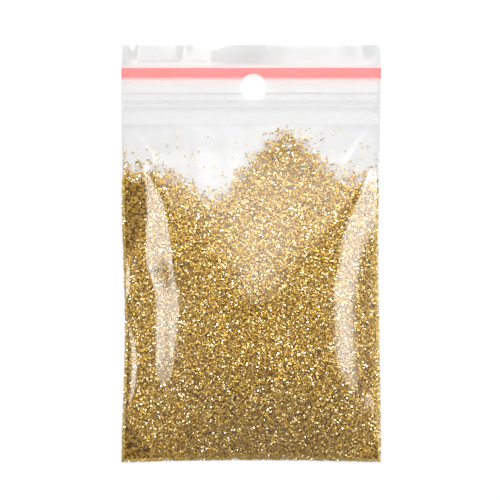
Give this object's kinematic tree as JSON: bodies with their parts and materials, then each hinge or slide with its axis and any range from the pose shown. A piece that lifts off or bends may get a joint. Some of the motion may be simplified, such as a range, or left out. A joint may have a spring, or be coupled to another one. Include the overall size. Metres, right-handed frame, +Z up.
{
  "type": "grip-seal sample bag",
  "caption": "Small clear grip-seal bag with a red line and a hang hole, filled with gold-coloured flake; the header folds and the zip mouth opens.",
  "frame": {"origin": "middle of the bag's footprint on the table, on the outside of its back film", "axes": "+X to the right along the zip, +Y from the bottom fold to the lips, +Z up out of the front film"},
  "size_m": [0.06, 0.0965, 0.007],
  "materials": {
    "clear_film": "clear blown polyethylene film",
    "welded_edge": "heat-welded polyethylene",
    "band_film": "thick milky polyethylene band",
    "zip_profile": "extruded polyethylene",
    "red_line": "translucent red line in the film",
    "gold_flake": "bright metallised flake"
  },
  "bodies": {
    "pouch": {"back_wall": "clear_film", "front_wall": "clear_film", "bottom_fold": "welded_edge", "left_side_weld": "welded_edge", "right_side_weld": "welded_edge", "flake_fill": "gold_flake"},
    "header": {"back_mouth_wall": "clear_film", "back_band": "band_film", "zip_rib": "zip_profile", "back_guide_rib": "zip_profile", "back_lip": "clear_film", "left_header_weld": "welded_edge", "right_header_weld": "welded_edge", "mouth_heap": "gold_flake", "mouth_flakes": "gold_flake"},
    "front_mouth": {"front_mouth_wall": "clear_film", "front_band": "band_film", "zip_channel": "zip_profile", "front_guide_rib": "zip_profile", "red_stripe": "red_line", "front_lip": "clear_film"}
  },
  "joints": [
    {"name": "header_fold", "type": "hinge", "parent": "pouch", "child": "header", "pos_m": [0, 0.02175, 0.00175], "axis": [1, 0, 0], "range_deg": [0, 110], "stiffness_Nm_per_rad": 0.0001},
    {"name": "mouth_open", "type": "hinge", "parent": "header", "child": "front_mouth", "pos_m": [0, 0.02175, 0.00175], "axis": [1, 0, 0], "range_deg": [0, 35], "stiffness_Nm_per_rad": 0.0001}
  ]
}
